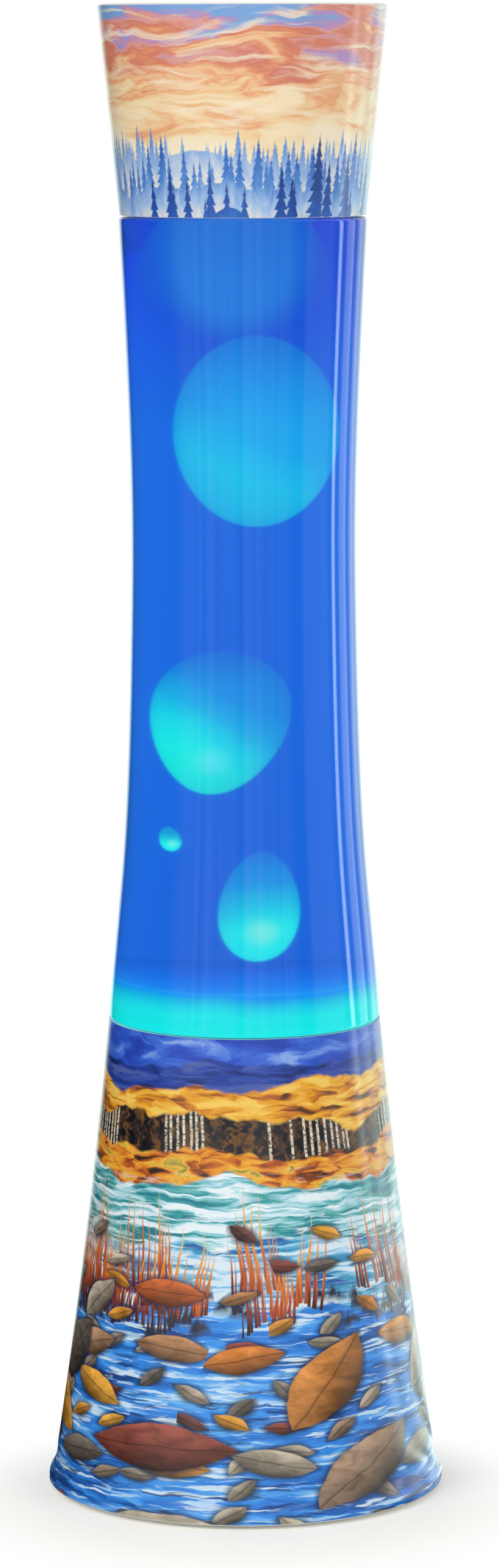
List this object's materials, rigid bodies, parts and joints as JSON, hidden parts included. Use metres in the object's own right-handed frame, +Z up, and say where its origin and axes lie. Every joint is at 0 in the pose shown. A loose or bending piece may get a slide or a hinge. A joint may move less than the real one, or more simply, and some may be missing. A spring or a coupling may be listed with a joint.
{
  "type": "liquid motion lamp",
  "caption": "Hourglass glass bottle of blue liquid and floating wax on a flared printed base that hides a reflector bulb, under a flared printed cap.",
  "frame": {"origin": "middle of the footprint, on the surface that the rubber feet stand on", "axes": "+Z up along the lamp's axis, +Y towards the cord gland at the back, the front faces -Y"},
  "size_m": [0.1072, 0.1072, 0.4],
  "materials": {
    "print_base": "gloss",
    "print_cap": "gloss",
    "abs_white": "satin",
    "holder_plastic": "satin",
    "rubber_black": "matte",
    "foam": "matte",
    "steel": "satin",
    "brass": "satin",
    "insulator_glass": "gloss",
    "bulb_glass": "satin",
    "bottle_glass": "gloss",
    "liquid": "gloss",
    "wax": "satin",
    "tungsten": "matte",
    "sleeve_brown": "satin",
    "sleeve_blue": "satin"
  },
  "bodies": {
    "base": {"base_shell": "abs_white", "base_print_film": "print_base", "bottle_seat": "holder_plastic", "seat_gasket": "rubber_black", "bottom_cover": "abs_white", "cord_gland": "rubber_black", "terminal_block": "holder_plastic", "live_lead": "sleeve_brown", "neutral_lead": "sleeve_blue", "lampholder_bracket": "steel", "lampholder": "holder_plastic", "lampholder_screw": "steel", "lampholder_thread_shell": "brass", "lampholder_contact": "brass", "live_terminal": "brass", "neutral_terminal": "brass", "cover_screw_1": "steel", "cover_screw_2": "steel", "cover_screw_3": "steel", "cover_screw_4": "steel", "foot_pad_1": "rubber_black", "foot_pad_2": "rubber_black", "foot_pad_3": "rubber_black", "foot_pad_4": "rubber_black", "bracket_screw_1": "steel", "bracket_screw_2": "steel"},
    "bulb": {"bulb_envelope": "bulb_glass", "bulb_stem": "bulb_glass", "bulb_filament": "tungsten", "bulb_screw_cap": "steel", "bulb_insulator": "insulator_glass", "bulb_tip_contact": "brass"},
    "bottle": {"glass_bottle": "bottle_glass", "motion_liquid": "liquid", "wax_pool": "wax", "wax_blob_upper": "wax", "wax_blob_middle": "wax", "wax_droplet": "wax", "wax_blob_lower": "wax", "wax_blob_deep": "wax", "heating_coil": "steel", "crown_liner": "foam", "crown_cap": "steel"},
    "cap": {"cap_shell": "abs_white", "cap_print_film": "print_cap", "cap_top_disc": "abs_white", "cap_centring_ring": "foam"}
  },
  "joints": [
    {"name": "bulb_lift", "type": "slide", "parent": "base", "child": "bulb", "axis": [0, 0, 1], "range_m": [0, 0.02]},
    {"name": "bottle_lift", "type": "slide", "parent": "base", "child": "bottle", "axis": [0, 0, 1], "range_m": [0, 0.04]},
    {"name": "cap_lift", "type": "slide", "parent": "bottle", "child": "cap", "axis": [0, 0, 1], "range_m": [0, 0.06]}
  ]
}
